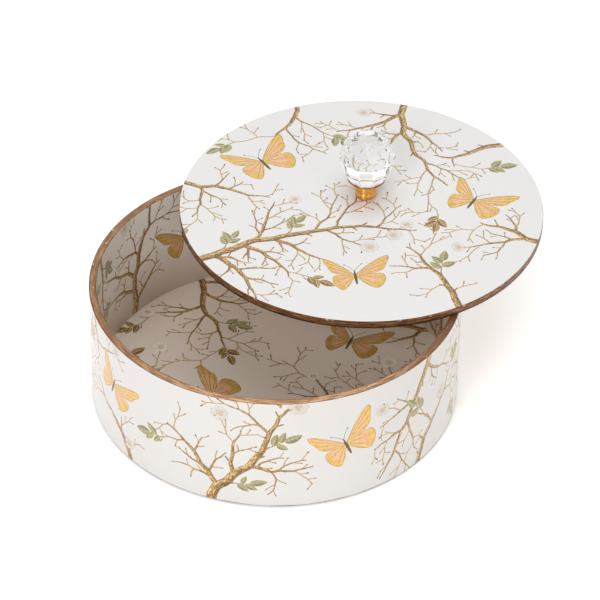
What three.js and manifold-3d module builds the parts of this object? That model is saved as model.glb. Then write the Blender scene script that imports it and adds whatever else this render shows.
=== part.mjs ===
// A round roti box of bent and flat MDF: a hoop wall on a glued-in floor, covered inside and out
// with printed sheet, and a flat loose lid of the same make with a cut-crystal knob.
// Millimetres, +Z up. The origin is on the box's axis, on the surface that the box stands on.
// The lid lies level on the rim, pushed aside from the closed place.

import * as THREE from 'three';
import { mergeVertices } from 'three/addons/utils/BufferGeometryUtils.js';
import { ConvexGeometry } from 'three/addons/geometries/ConvexGeometry.js';
import Module from 'manifold-3d';

// Box
const BOX_DIAMETER = 240;         // over the printed wrap
const BOX_HEIGHT = 86.4;          // from the table to the rim
const WALL_THICKNESS = 3.9;       // the bent hoop alone
const FLOOR_THICKNESS = 3;
const FELT_THICKNESS = 0.8;
const FELT_MARGIN = 1;            // the felt stops this far inside the hoop's outer face
const EDGE_CHAMFER = 0.5;         // sanded arris on the hoop's rim and on the lid's board

// Printed sheets
const SHEET_THICKNESS = 0.4;
const SHEET_SETBACK = 0.2;        // the wraps stop this far short of the rim
const WRAP_FOOT_MARGIN = 0.6;     // bare hoop left below the outer wrap
const SEAM_GAP = 0.4;             // the ends of each wrap meet in a butt seam
const OUTER_SEAM_ANGLE = 100;     // degrees round from +X, at the back of the box
const INNER_SEAM_ANGLE = 80;

// Lid
const LID_DIAMETER = 240;
const LID_BOARD_THICKNESS = 4.8;
const LID_SHIFT = 92;             // how far the lid is pushed aside from the closed place
const LID_SHIFT_ANGLE = 53.4;     // degrees from +X
const KNOB_OFFSET_X = 2.8;        // the knob stands a little off the lid's centre
const KNOB_OFFSET_Y = 12.4;

// Knob collar, from the lid upwards
const FOOT_DIAMETER = 14.4;
const FOOT_HEIGHT = 4.4;
const FOOT_ROUND = 0.9;
const GROOVE_WIDTH = 0.6;
const GROOVE_DEPTH = 0.7;
const NECK_DIAMETER = 14.6;
const NECK_HEIGHT = 4;
const FLARE_HEIGHT = 4.7;
const CUP_DIAMETER = 25.3;
const LIP_THICKNESS = 0.9;
const LIP_WALL = 0.45;
const SEAT_DEPTH = 0.5;           // how deep the crystal stands in the cup

// Knob crystal
const CRYSTAL_DIAMETER = 37.6;    // across the ball that its facets touch with their corners
const CRYSTAL_RISE = 16.1;        // from the collar's lip to the middle of the ball
const FACETS_AROUND = 10;
const FACET_ROWS = [[66, 0], [36, 0.5], [4, 0], [-26, 0]]; // latitude in degrees, turn in facets

// Knob screw and washer
const SCREW_DIAMETER = 4;
const SCREW_REACH = 7;            // thread inside the collar
const SCREW_TIP_CHAMFER = 0.6;
const HEAD_DIAMETER = 7.6;
const HEAD_HEIGHT = 1.6;
const HEAD_RECESS = 0.2;          // the head stays this far inside the lid's underside
const DRIVE_LENGTH = 4.4;
const DRIVE_WIDTH = 1;
const DRIVE_DEPTH = 0.9;
const WASHER_DIAMETER = 9;
const WASHER_THICKNESS = 0.6;

// Fits
const GLUE_LINE = 0.1;            // film between glued faces
const FIT_GAP = 0.1;              // between clamped faces
const REST_GAP = 0.3;             // under the loose lid
const BORE_CLEARANCE = 0.2;       // round the screw and the washer
const SEAT_CLEARANCE = 0.15;      // round the crystal in its cup
const THREAD_RUNOUT = 1;          // bore left beyond the screw's tip

// Roundness of the solids
const ROUND_STEPS = 96;
const KNOB_STEPS = 40;
const CURVE_STEPS = 6;
const MERGE_DISTANCE = 1e-4;

// Radii and levels that follow from the sizes above
const wrapOuterRadius = BOX_DIAMETER / 2;
const hoopOuterRadius = wrapOuterRadius - SHEET_THICKNESS - GLUE_LINE;
const hoopInnerRadius = hoopOuterRadius - WALL_THICKNESS;
const linerOuterRadius = hoopInnerRadius - GLUE_LINE;
const linerInnerRadius = linerOuterRadius - SHEET_THICKNESS;
const boardLevel = FELT_THICKNESS + GLUE_LINE;
const floorPrintLevel = boardLevel + FLOOR_THICKNESS + GLUE_LINE;
const linerLevel = floorPrintLevel + SHEET_THICKNESS + GLUE_LINE;
const wrapTopLevel = BOX_HEIGHT - SHEET_SETBACK;

const lidRadius = LID_DIAMETER / 2;
const lidBoardLevel = SHEET_THICKNESS + GLUE_LINE;
const lidBoardTop = lidBoardLevel + LID_BOARD_THICKNESS;
const lidPrintLevel = lidBoardTop + GLUE_LINE;
const lidTop = lidPrintLevel + SHEET_THICKNESS;
const washerLevel = HEAD_RECESS + HEAD_HEIGHT + FIT_GAP;
const counterboreLevel = washerLevel + WASHER_THICKNESS + FIT_GAP;
const screwRadius = SCREW_DIAMETER / 2;
const boreRadius = screwRadius + BORE_CLEARANCE;
const counterboreRadius = Math.max(WASHER_DIAMETER, HEAD_DIAMETER) / 2 + BORE_CLEARANCE;
const collarLevel = lidTop + FIT_GAP;
const cupRadius = CUP_DIAMETER / 2;
const seatRadius = cupRadius - LIP_WALL;

const wasm = await Module();
wasm.setup();

// One closed body: shared corners merged, and the flat triangles on a lathe's axis dropped
function closed(geometry) {
  geometry.deleteAttribute('normal');
  geometry.deleteAttribute('uv');
  const merged = mergeVertices(geometry, MERGE_DISTANCE);
  const corners = merged.index.array;
  const kept = [];
  for (let i = 0; i < corners.length; i += 3) {
    const [a, b, c] = [corners[i], corners[i + 1], corners[i + 2]];
    if (a !== b && b !== c && c !== a) {
      kept.push(a, b, c);
    }
  }
  merged.setIndex(kept);
  merged.computeVertexNormals();
  return merged;
}

// A body turned round Z from [radius, height] points, which run up the outside and down the inside
function turned(points, steps) {
  const profile = points.map(([radius, height]) => new THREE.Vector2(radius, height));
  const lathe = new THREE.LatheGeometry(profile, steps);
  lathe.rotateX(Math.PI / 2);
  return closed(lathe);
}

function disc(radius, low, high, steps = ROUND_STEPS) {
  return turned([[0, low], [radius, low], [radius, high], [0, high]], steps);
}

function ring(innerRadius, outerRadius, low, high, steps = ROUND_STEPS) {
  const start = [innerRadius, low];
  return turned([start, [outerRadius, low], [outerRadius, high], [innerRadius, high], start], steps);
}

function solidOf(geometry) {
  const vertProperties = new Float32Array(geometry.attributes.position.array);
  const triVerts = new Uint32Array(geometry.index.array);
  return new wasm.Manifold(new wasm.Mesh({ numProp: 3, vertProperties, triVerts }));
}

function cut(geometry, tools) {
  const left = tools.reduce((solid, tool) => solid.subtract(solidOf(tool)), solidOf(geometry));
  const mesh = left.getMesh();
  const result = new THREE.BufferGeometry();
  result.setAttribute('position', new THREE.BufferAttribute(new Float32Array(mesh.vertProperties), 3));
  result.setIndex(Array.from(mesh.triVerts));
  result.computeVertexNormals();
  return result;
}

// A straight-sided bar with its middle at a point
function bar(length, width, height, x, y, z) {
  const box = new THREE.BoxGeometry(length, width, height);
  box.translate(x, y, z);
  return closed(box);
}

function piece(name, geometry, color, roughness, metalness = 0) {
  const material = new THREE.MeshStandardMaterial({ color, roughness, metalness });
  const mesh = new THREE.Mesh(geometry, material);
  mesh.name = name;
  return mesh;
}

const PRINT_WHITE = '#efecea';
const BOARD_BROWN = '#8a6440';
const FELT_GREY = '#4a443f';
const COLLAR_GOLD = '#d9a441';
const CRYSTAL_CLEAR = '#f2f5f6';
const SCREW_STEEL = '#b9bcc0';

// Hoop wall: a bent strip with its rim edges sanded round
function boxWall() {
  const inner = hoopInnerRadius;
  const outer = hoopOuterRadius;
  const shoulder = BOX_HEIGHT - EDGE_CHAMFER;
  const start = [inner, boardLevel];
  return turned([
    start,
    [outer, boardLevel],
    [outer, shoulder],
    [outer - EDGE_CHAMFER, BOX_HEIGHT],
    [inner + EDGE_CHAMFER, BOX_HEIGHT],
    [inner, shoulder],
    start,
  ], ROUND_STEPS);
}

// A printed strip bent round the hoop, with its two ends meeting at a butt seam
function wrap(innerRadius, outerRadius, low, high, seamAngle) {
  const seamBar = bar(outerRadius, SEAM_GAP, high, outerRadius, 0, (low + high) / 2);
  seamBar.rotateZ(THREE.MathUtils.degToRad(seamAngle));
  return cut(ring(innerRadius, outerRadius, low, high), [seamBar]);
}

// Round cutter for the knob's screw, square to the lid at the knob's place
function knobHole(radius, low, high) {
  const hole = disc(radius, low, high, KNOB_STEPS);
  hole.translate(KNOB_OFFSET_X, KNOB_OFFSET_Y, 0);
  return hole;
}

// Lid board: edges sanded like the rim, bored for the screw and counterbored for its head
function lidBoard() {
  const board = turned([
    [0, lidBoardLevel],
    [lidRadius - EDGE_CHAMFER, lidBoardLevel],
    [lidRadius, lidBoardLevel + EDGE_CHAMFER],
    [lidRadius, lidBoardTop - EDGE_CHAMFER],
    [lidRadius - EDGE_CHAMFER, lidBoardTop],
    [0, lidBoardTop],
  ], ROUND_STEPS);
  const bore = knobHole(boreRadius, 0, lidTop);
  const counterbore = knobHole(counterboreRadius, 0, counterboreLevel);
  return cut(board, [bore, counterbore]);
}

function lidPrint(low, holeRadius) {
  const sheet = disc(lidRadius - EDGE_CHAMFER, low, low + SHEET_THICKNESS);
  const hole = knobHole(holeRadius, low - SHEET_THICKNESS, low + 2 * SHEET_THICKNESS);
  return cut(sheet, [hole]);
}

// Collar: a foot, a groove, a neck and a flare that ends in the lip of a shallow cup,
// with a blind bore for the screw underneath
function knobCollar() {
  const footRadius = FOOT_DIAMETER / 2;
  const neckRadius = NECK_DIAMETER / 2;
  const grooveRadius = Math.min(footRadius, neckRadius) - GROOVE_DEPTH;
  const neckLevel = FOOT_HEIGHT + GROOVE_WIDTH;
  const flareLevel = neckLevel + NECK_HEIGHT;
  const lipLevel = flareLevel + FLARE_HEIGHT;
  const lipTop = lipLevel + LIP_THICKNESS;
  const seatLevel = lipTop - SEAT_DEPTH;
  const boreTop = SCREW_REACH + THREAD_RUNOUT;
  const flare = new THREE.QuadraticBezierCurve(
    new THREE.Vector2(neckRadius, flareLevel),
    new THREE.Vector2(neckRadius, lipLevel),
    new THREE.Vector2(cupRadius, lipLevel),
  );
  return turned([
    [0, boreTop],
    [boreRadius, boreTop],
    [boreRadius, 0],
    [footRadius - FOOT_ROUND, 0],
    [footRadius, FOOT_ROUND],
    [footRadius, FOOT_HEIGHT],
    [grooveRadius, FOOT_HEIGHT],
    [grooveRadius, neckLevel],
    [neckRadius, neckLevel],
    ...flare.getPoints(CURVE_STEPS).map((point) => [point.x, point.y]),
    [cupRadius, lipTop],
    [seatRadius, lipTop],
    [seatRadius, seatLevel],
    [0, seatLevel],
  ], KNOB_STEPS);
}

// Crystal: a crown of staggered facets down to a girdle round the middle of the ball, then long facets
// that draw in to a chamfered base that stands in the cup. Its height zero is the collar's lip.
function knobCrystal() {
  const ballRadius = CRYSTAL_DIAMETER / 2;
  const baseRadius = seatRadius - SEAT_CLEARANCE;
  const rings = FACET_ROWS.map(([latitude, turn]) => {
    const angle = THREE.MathUtils.degToRad(latitude);
    return [ballRadius * Math.cos(angle), CRYSTAL_RISE + ballRadius * Math.sin(angle), turn];
  });
  const seated = SEAT_DEPTH - FIT_GAP;
  rings.push([baseRadius, 0, 0], [baseRadius - seated, -seated, 0]);
  const points = [];
  rings.forEach(([radius, height, turn]) => {
    for (let facet = 0; facet < FACETS_AROUND; facet += 1) {
      const angle = (2 * Math.PI * (facet + turn)) / FACETS_AROUND;
      points.push(new THREE.Vector3(radius * Math.cos(angle), radius * Math.sin(angle), height));
    }
  });
  return closed(new ConvexGeometry(points));
}

// Screw: a low head with a cross drive, and a shank whose thread is left plain
function knobScrew() {
  const headTop = HEAD_RECESS + HEAD_HEIGHT;
  const tip = lidTop + SCREW_REACH;
  const blank = turned([
    [0, HEAD_RECESS],
    [HEAD_DIAMETER / 2, HEAD_RECESS],
    [HEAD_DIAMETER / 2, headTop],
    [screwRadius, headTop],
    [screwRadius, tip - SCREW_TIP_CHAMFER],
    [screwRadius - SCREW_TIP_CHAMFER, tip],
    [0, tip],
  ], KNOB_STEPS);
  const slot = bar(DRIVE_LENGTH, DRIVE_WIDTH, 2 * DRIVE_DEPTH, 0, 0, HEAD_RECESS);
  const crossSlot = bar(DRIVE_WIDTH, DRIVE_LENGTH, 2 * DRIVE_DEPTH, 0, 0, HEAD_RECESS);
  return cut(blank, [slot, crossSlot]);
}

const rotiBox = new THREE.Group();
const feltRadius = hoopOuterRadius - FELT_MARGIN;
const floorRadius = hoopInnerRadius - GLUE_LINE;
const floorPrintRadius = linerOuterRadius - GLUE_LINE;
const wrapLevel = boardLevel + WRAP_FOOT_MARGIN;
const wrapInnerRadius = wrapOuterRadius - SHEET_THICKNESS;
rotiBox.add(
  piece('base_felt', disc(feltRadius, 0, FELT_THICKNESS), FELT_GREY, 0.95),
  piece('box_floor', disc(floorRadius, boardLevel, boardLevel + FLOOR_THICKNESS), BOARD_BROWN, 0.7),
  piece('box_wall', boxWall(), BOARD_BROWN, 0.5, 0.2),
  piece('outer_print',
    wrap(wrapInnerRadius, wrapOuterRadius, wrapLevel, wrapTopLevel, OUTER_SEAM_ANGLE),
    PRINT_WHITE, 0.25),
  piece('inner_print',
    wrap(linerInnerRadius, linerOuterRadius, linerLevel, wrapTopLevel, INNER_SEAM_ANGLE),
    PRINT_WHITE, 0.25),
  piece('floor_print',
    disc(floorPrintRadius, floorPrintLevel, floorPrintLevel + SHEET_THICKNESS), PRINT_WHITE, 0.25),
);

const lid = new THREE.Group();
const shiftAngle = THREE.MathUtils.degToRad(LID_SHIFT_ANGLE);
lid.position.set(
  LID_SHIFT * Math.cos(shiftAngle), LID_SHIFT * Math.sin(shiftAngle), BOX_HEIGHT + REST_GAP);
lid.add(
  piece('lid_board', lidBoard(), BOARD_BROWN, 0.5, 0.2),
  piece('lid_top_print', lidPrint(lidPrintLevel, boreRadius), PRINT_WHITE, 0.25),
  piece('lid_under_print', lidPrint(0, counterboreRadius), PRINT_WHITE, 0.25),
);

const knob = new THREE.Group();
knob.position.set(KNOB_OFFSET_X, KNOB_OFFSET_Y, 0);
const collar = piece('knob_collar', knobCollar(), COLLAR_GOLD, 0.15, 1);
collar.position.z = collarLevel;
const crystal = piece('knob_crystal', knobCrystal(), CRYSTAL_CLEAR, 0.02);
crystal.position.z = collarLevel + FOOT_HEIGHT + GROOVE_WIDTH + NECK_HEIGHT + FLARE_HEIGHT + LIP_THICKNESS;
const washer = ring(boreRadius, WASHER_DIAMETER / 2, washerLevel, washerLevel + WASHER_THICKNESS, KNOB_STEPS);
knob.add(
  collar,
  crystal,
  piece('knob_screw', knobScrew(), SCREW_STEEL, 0.35, 1),
  piece('knob_washer', washer, SCREW_STEEL, 0.4, 1),
);
lid.add(knob);
rotiBox.add(lid);

export default rotiBox;
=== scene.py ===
"""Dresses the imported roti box: printed sheets, painted board edges, gold collar and cut crystal.

Every piece is in metres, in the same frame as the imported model. The print is drawn flat, in
millimetres, as inked outlines; each sheet's face is then split along those outlines.
"""

import math
import random

import bmesh
import bpy
import numpy as np
from mathutils import Matrix, Vector
from mathutils.geometry import delaunay_2d_cdt


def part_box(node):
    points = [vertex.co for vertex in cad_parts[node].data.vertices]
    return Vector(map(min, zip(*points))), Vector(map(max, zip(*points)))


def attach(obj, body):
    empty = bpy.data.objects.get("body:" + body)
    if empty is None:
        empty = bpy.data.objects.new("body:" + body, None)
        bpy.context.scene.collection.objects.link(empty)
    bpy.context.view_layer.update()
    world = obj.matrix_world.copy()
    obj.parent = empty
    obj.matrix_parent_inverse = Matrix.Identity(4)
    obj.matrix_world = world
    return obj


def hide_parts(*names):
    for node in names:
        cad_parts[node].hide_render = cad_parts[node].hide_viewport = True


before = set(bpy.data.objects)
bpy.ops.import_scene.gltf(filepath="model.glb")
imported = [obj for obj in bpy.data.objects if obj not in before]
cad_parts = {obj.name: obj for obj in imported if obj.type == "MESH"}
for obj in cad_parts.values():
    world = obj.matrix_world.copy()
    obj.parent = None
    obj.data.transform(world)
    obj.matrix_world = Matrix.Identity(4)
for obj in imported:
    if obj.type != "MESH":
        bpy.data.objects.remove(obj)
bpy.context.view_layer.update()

MM = 0.001


# Sizes taken from the frame

def middle(node):
    low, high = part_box(node)
    return (low + high) / 2


def width_of(node):
    low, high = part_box(node)
    return high.x - low.x


BOX_CENTRE = Vector((0, 0, 0))
LID_CENTRE = Vector((middle("lid_board").x, middle("lid_board").y, 0))
KNOB_AXIS = Vector((middle("knob_collar").x, middle("knob_collar").y, 0))
WRAP_RADIUS = width_of("outer_print") / 2
HOOP_OUTER = width_of("box_wall") / 2
LINER_OUTER = width_of("inner_print") / 2
LID_RADIUS = width_of("lid_board") / 2
UNDER_SHEET_RADIUS = width_of("lid_under_print") / 2
FLOOR_SHEET_RADIUS = width_of("floor_print") / 2
FELT_RADIUS = width_of("base_felt") / 2
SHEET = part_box("lid_top_print")[1].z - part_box("lid_top_print")[0].z
LINER_RADIUS = LINER_OUTER - SHEET
GLUE = WRAP_RADIUS - SHEET - HOOP_OUTER
HOOP_INNER = LINER_OUTER + GLUE
# The knob's place on the lid, from the lid's centre, in millimetres
KNOB_X = (KNOB_AXIS.x - LID_CENTRE.x) / MM
KNOB_Y = (KNOB_AXIS.y - LID_CENTRE.y) / MM

# Rounding of the edges; the lid's top sheet stops where its board's edge begins to round
LID_ROUND = 0.15 * MM
RIM_ROUND = 0.5 * MM
FELT_ROUND = 0.3 * MM
LID_SHEET_RADIUS = LID_RADIUS - LID_ROUND

# Butt seams of the two wraps, at the back of the box
OUTER_SEAM = math.radians(100)
INNER_SEAM = math.radians(80)
SEAM_GAP = 0.4 * MM

# Hole of the knob's screw, and the wider one for its head and washer
BORE_RADIUS = 2.2 * MM
BORE_CLEARANCE = 0.2 * MM
COUNTERBORE_RADIUS = width_of("knob_washer") / 2 + BORE_CLEARANCE
WASHER_GAP = 0.1 * MM
RUN_OUT = 1.0 * MM


# Flat print, in millimetres, with angles in radians

# The length of a limb's steps, its least width, and the width below which it is a twig
STEP = 2.4
THINNEST = 0.75
SLENDER = 1.2

# Limbs, branches, twigs and spurs: how they bend, the room they need and the forks they bear
LEVELS = (
    dict(wobble=0.10, bend=0.02, steer=0.08, gap=9.0, spacing=(3, 6), angles=(0.6, 1.05), share=0.68,
         reach=(34, 62)),
    dict(wobble=0.07, bend=0.05, steer=0.03, gap=6.0, spacing=(2, 4), angles=(0.5, 1.0), share=0.62,
         reach=(16, 30)),
    dict(wobble=0.06, bend=0.09, steer=0.0, gap=3.6, spacing=(2, 3), angles=(0.5, 0.9), share=0.75,
         reach=(4, 9)),
    dict(wobble=0.06, bend=0.12, steer=0.0, gap=2.2, spacing=(9, 9), angles=(0.5, 1.0), share=0.75,
         reach=(3, 5)),
)
SPUR = len(LEVELS) - 1
CELL = 10.0

# A limb's first steps may touch its stem and need less room
NEAR_STEM = 3
NEAR_GAP = 1.2

# At a fork the limb swerves, and the next fork mostly leaves on the other side
SWERVE = (0.12, 0.34)
OTHER_SIDE = 0.85
FORK_WIDTH = (0.75, 1.1)
FORK_SHORTER = 0.35
END_SHARE = 0.3
END_WIDEST = 1.0
TAPER = 1.2

# Knots in a limb's outline, the light on a twig, and strokes of ink across a limb's width
KNOT_SHARE = 0.14
KNOT_MOST = 0.22
LIGHT_PLACE = 0.22
LIGHT_WIDTH = 0.28
STROKES = (("bark_dark", -0.44, 0.05), ("bark_gold", -0.12, 0.44))
STROKE_ROW = 2.2
STROKE_CHANCE = 0.24
STROKE_CHANCE_MOST = 0.48
STROKE_LONGEST = 3
STROKE_THICK = 0.24
STROKE_THICKER = 0.07
STROKE_SPREAD = (0.7, 1.3)

# Tips: a draw below the first share gives leaves, below the second a flower, else a bud
SPRAY_BELOW = 0.3
BLOSSOM_BELOW = 0.55
TIP_REACH = 6
TIP_GAP = 4
SPRAY_ROOM = 20
BLOSSOM_ROOM = 16
SPRAY_TONES = ("sage", "sage", "bronze")
BUD_INKS = ("bark_dark", "bark", "bark")
SMALL_BUD = (0.6, 1.0)
LARGE_BUD = (0.7, 1.1)
# Place along a bud and width there, in shares of its size
BUD_SHAPE = ((-0.9, 0.5), (-0.3, 0.95), (0.3, 1.15), (0.8, 0.85), (1.2, 0.2))

# Leaf sprays
STEM_WIDTHS = (0.7, 0.65, 0.6, 0.5, 0.45)
STEM_STEP = 2.6
STEM_WOBBLE = 0.12
LEAF_TURN = (0.6, 1.0)
LEAF_LENGTH = (7.5, 11)
END_LEAF_LENGTH = (9, 13)
LEAF_BEND = 0.5
LEAF_WIDTH = (0.42, 0.54)
LEAF_STEPS = 10
LEAF_FULLEST = 0.8
LEAF_FULLNESS = 0.85
LEAF_RIM = 0.16
VEIN_REACH = 0.85
VEIN_WIDTHS = (0.26, 0.14)
MIDRIB = 0.52
MIDRIB_TAPER = 0.28

# Flowers; a petal's outline runs from its root, in shares of its length
BLOSSOM_STALK = 3
BLOSSOM_SIZE = (4.6, 6.4)
PETALS = 5
PETAL_SWAY = 0.1
PETAL_REACH = (0.86, 1.1)
PETAL_INSIDE = 0.94
PETAL = ((0.08, 0), (0.35, 0.30), (0.75, 0.46), (0.98, 0.26), (0.92, 0), (0.98, -0.26), (0.75, -0.46),
         (0.35, -0.30))
BLUSH_REACH = (0.1, 0.5)
BLUSH_WIDTH = 0.28
BLUSH_END = 0.06
STAMENS = 9
STAMEN_SWAY = 0.3
STAMEN_REACH = (0.3, 0.46)
STAMEN_WIDTHS = (0.16, 0.12)
STAMEN_HEAD = 0.28
EYE_RADIUS = 0.6

# Butterflies; wings, body and feelers in shares of the span of the wider pair
FORE_WING = ((0.03, 0.04), (0.30, 0.36), (0.66, 0.66), (0.95, 0.80), (1.0, 0.68), (0.90, 0.46),
             (0.80, 0.24), (0.50, 0.08))
HIND_WING = ((0.03, 0.02), (0.42, 0.06), (0.74, 0.04), (0.80, -0.18), (0.70, -0.42), (0.52, -0.56),
             (0.34, -0.46), (0.14, -0.22))
WING_SPANS = (1.0, -0.78)
WING_PARTS = 6
WING_FIELD = 0.95
WING_CORE = 0.70
WING_ROOT = (0.04, 0.02)
FORE_RIBS = 10
HIND_RIBS = 8
RIBS_AFTER = 9
RIBS_BEFORE = 7
RIB_ROOT = (0.06, 0.03)
RIB_WIDTH = 0.42
RIB_TAPER = 0.2
BODY_PLACES = (-0.36, -0.18, 0.0, 0.14, 0.24)
BODY_END = 0.02
BODY_SWELL = 0.06
BODY_FULLEST = 0.7
FEELER = ((0, 0.2), (0.10, 0.36), (0.24, 0.50))
FEELER_WIDTH = 0.3
FEELER_CLUB = 0.5
FLY_ROOM = 0.95


def moved(point, angle, distance):
    return point[0] + math.cos(angle) * distance, point[1] + math.sin(angle) * distance


def turned(points, centre, angle, size, wide=1.0):
    """Points given in shares of a size, widened along X, turned by an angle and put round a centre."""
    return [
        (centre[0] + size * (wide * u * math.cos(angle) - v * math.sin(angle)),
         centre[1] + size * (wide * u * math.sin(angle) + v * math.cos(angle))) for u, v in points]


def beside(line, i, distance):
    """A point at a distance to the left of a line, square to it at its point i."""
    ax, ay = line[max(i - 1, 0)]
    bx, by = line[min(i + 1, len(line) - 1)]
    size = math.hypot(bx - ax, by - ay)
    x, y = line[i]
    return x - (by - ay) / size * distance, y + (bx - ax) / size * distance


def ribbon(line, widths):
    """Outline of a strip along a line, as wide at each point as widths says."""
    left = [beside(line, i, w / 2) for i, w in enumerate(widths)]
    right = [beside(line, i, -w / 2) for i, w in enumerate(widths)]
    return left + right[::-1]


def dot(centre, radius, sides=8):
    """Outline of a round spot."""
    return [moved(centre, 2 * math.pi * k / sides, radius) for k in range(sides)]


def smooth(points, parts=3, closed=False):
    """A Catmull-Rom curve through points."""
    count = len(points)
    out = []
    for i in range(count if closed else count - 1):
        if closed:
            p = [points[(i + k) % count] for k in (-1, 0, 1, 2)]
        else:
            p = [points[min(max(i + k, 0), count - 1)] for k in (-1, 0, 1, 2)]
        for j in range(parts):
            t = j / parts
            out.append(tuple(
                0.5 * (2 * p[1][a] + (p[2][a] - p[0][a]) * t
                       + (2 * p[0][a] - 5 * p[1][a] + 4 * p[2][a] - p[3][a]) * t * t
                       + (3 * p[1][a] - p[0][a] - 3 * p[2][a] + p[3][a]) * t ** 3)
                for a in (0, 1)))
    if not closed:
        out.append(points[-1])
    return out


def almond(t):
    """Half the width of a leaf at a share of its length, from 0 at its ends to 1."""
    return max(0.0, math.sin(math.pi * t ** LEAF_FULLEST)) ** LEAF_FULLNESS


class Print:
    """Inked outlines on one flat sheet, in the order in which they are printed."""

    def __init__(self, seed, within, keep_out, plain):
        self.rng = random.Random(seed)
        self.shapes = []
        self.within = within
        self.keep_out = keep_out
        self.plain = plain
        self.taken = {}
        self.limbs = []
        self.ends = []

    def add(self, ink, points):
        self.shapes.append((ink, points))

    def free(self, point, gap, own):
        """Whether a point is clear of the kept-out rounds and of every limb but those in own."""
        if not self.within(*point) or any(math.dist(point, (x, y)) < r for x, y, r in self.keep_out):
            return False
        column, row = int(point[0] // CELL), int(point[1] // CELL)
        for i in (column - 1, column, column + 1):
            for j in (row - 1, row, row + 1):
                for other, mark in self.taken.get((i, j), ()):
                    if mark not in own and math.dist(point, other) < gap:
                        return False
        return True

    def take(self, points, mark):
        """Notes where a limb lies, by the cells of a coarse grid."""
        for point in points:
            cell = int(point[0] // CELL), int(point[1] // CELL)
            self.taken.setdefault(cell, []).append((point, mark))

    def grow(self, limbs):
        """Limbs first, then their branches, twigs and spurs, each stopping short of what is there."""
        queue = [(start, heading, length, width, 0, None) for start, heading, length, width in limbs]
        while queue:
            queue.extend(self.trace(*queue.pop(0)))
        for level in reversed(range(len(LEVELS))):
            for points, widths, depth in self.limbs:
                if depth == level:
                    self.bark(points, widths)
        for point, angle, level in self.ends:
            self.tip(point, angle, level)

    def trace(self, start, heading, length, width, level, stem):
        """Follows one limb as far as there is room, and gives the limbs that fork off it."""
        rng = self.rng
        look = LEVELS[level]
        mark = len(self.limbs)
        steps = max(2, round(length / STEP))
        side = rng.choice((-1, 1))
        bend = rng.gauss(0, look["bend"])
        points = [start]
        forks = []
        angle = heading
        next_fork = rng.randint(*look["spacing"])
        for i in range(1, steps + 1):
            angle += rng.gauss(0, look["wobble"]) + bend + look["steer"] * (heading - angle)
            there = moved(points[-1], angle, STEP)
            if i < NEAR_STEM:
                room = self.free(there, NEAR_GAP, {mark, stem})
            else:
                room = self.free(there, look["gap"], {mark})
            if not room:
                break
            points.append(there)
            if level < SPUR and i == next_fork:
                forks.append((i, side, angle))
                angle -= side * rng.uniform(*SWERVE)
                if rng.random() < OTHER_SIDE:
                    side = -side
                next_fork += rng.randint(*look["spacing"])
        count = len(points) - 1
        if count < 2:
            return []
        thin = max(THINNEST, min(width * END_SHARE, END_WIDEST))
        widths = [max(THINNEST, width + (thin - width) * (i / count) ** TAPER) for i in range(count + 1)]
        self.limbs.append((points, widths, level))
        self.take(points, mark)
        self.ends.append((points[-1], angle, level))
        out = []
        for i, turn, angle_there in forks:
            if i <= count:
                away = angle_there + turn * rng.uniform(*look["angles"])
                wide = max(THINNEST, widths[i] * look["share"] * rng.uniform(*FORK_WIDTH))
                reach = rng.uniform(*look["reach"]) * (1 - FORK_SHORTER * i / count)
                out.append((points[i], away, reach, wide, level + 1, mark))
        return out

    def bark(self, points, widths):
        """A limb's knotty outline, with a gold light along a twig or short strokes along a thick limb."""
        rng = self.rng
        slender = widths[0] < SLENDER
        line = smooth(points, 2 if slender else 3)
        wide = []
        for i in range(len(line)):
            t = i / (len(line) - 1) * (len(widths) - 1)
            k = min(int(t), len(widths) - 2)
            here = widths[k] + (widths[k + 1] - widths[k]) * (t - k)
            wide.append(here + min(KNOT_SHARE * here, KNOT_MOST) * rng.uniform(-1, 1))
        self.add("twig" if slender else "bark", ribbon(line, wide))
        if slender:
            light = [beside(line, i, LIGHT_PLACE * w) for i, w in enumerate(wide)]
            self.add("bark_gold", ribbon(light, [LIGHT_WIDTH * w for w in wide]))
            return
        for i in range(len(line) - STROKE_LONGEST):
            for ink, low, high in STROKES:
                for _ in range(1 + int(wide[i] / STROKE_ROW)):
                    if rng.random() < min(STROKE_CHANCE_MOST, STROKE_CHANCE * wide[i]):
                        offset = rng.uniform(low, high) * wide[i]
                        ahead = i + rng.randint(1, STROKE_LONGEST)
                        stroke = [beside(line, i, offset), beside(line, ahead, offset)]
                        thick = (STROKE_THICK + STROKE_THICKER * wide[i]) * rng.uniform(*STROKE_SPREAD)
                        self.add(ink, ribbon(stroke, [thick, thick * 0.5]))

    def tip(self, point, angle, level):
        """What a limb ends in: leaves or a flower where there is room, else a bud."""
        rng = self.rng
        draw = rng.random()
        place = moved(point, angle, TIP_REACH)
        bare = any(math.dist(place, (x, y)) < r for x, y, r in self.plain)
        if level == SPUR or bare or not self.free(place, TIP_GAP, set()):
            self.bud(point, angle, rng.uniform(*SMALL_BUD))
        elif draw < SPRAY_BELOW:
            self.keep_out.append((*place, SPRAY_ROOM))
            self.spray(point, angle, rng.choice(SPRAY_TONES))
        elif draw < BLOSSOM_BELOW:
            self.keep_out.append((*place, BLOSSOM_ROOM))
            self.blossom(moved(point, angle, BLOSSOM_STALK), angle, rng.uniform(*BLOSSOM_SIZE))
        else:
            self.bud(point, angle, rng.uniform(*LARGE_BUD))

    def bud(self, point, angle, size):
        spine = [moved(point, angle, size * along) for along, _ in BUD_SHAPE]
        ink = self.rng.choice(BUD_INKS)
        self.add(ink, ribbon(spine, [size * wide for _, wide in BUD_SHAPE]))

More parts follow.
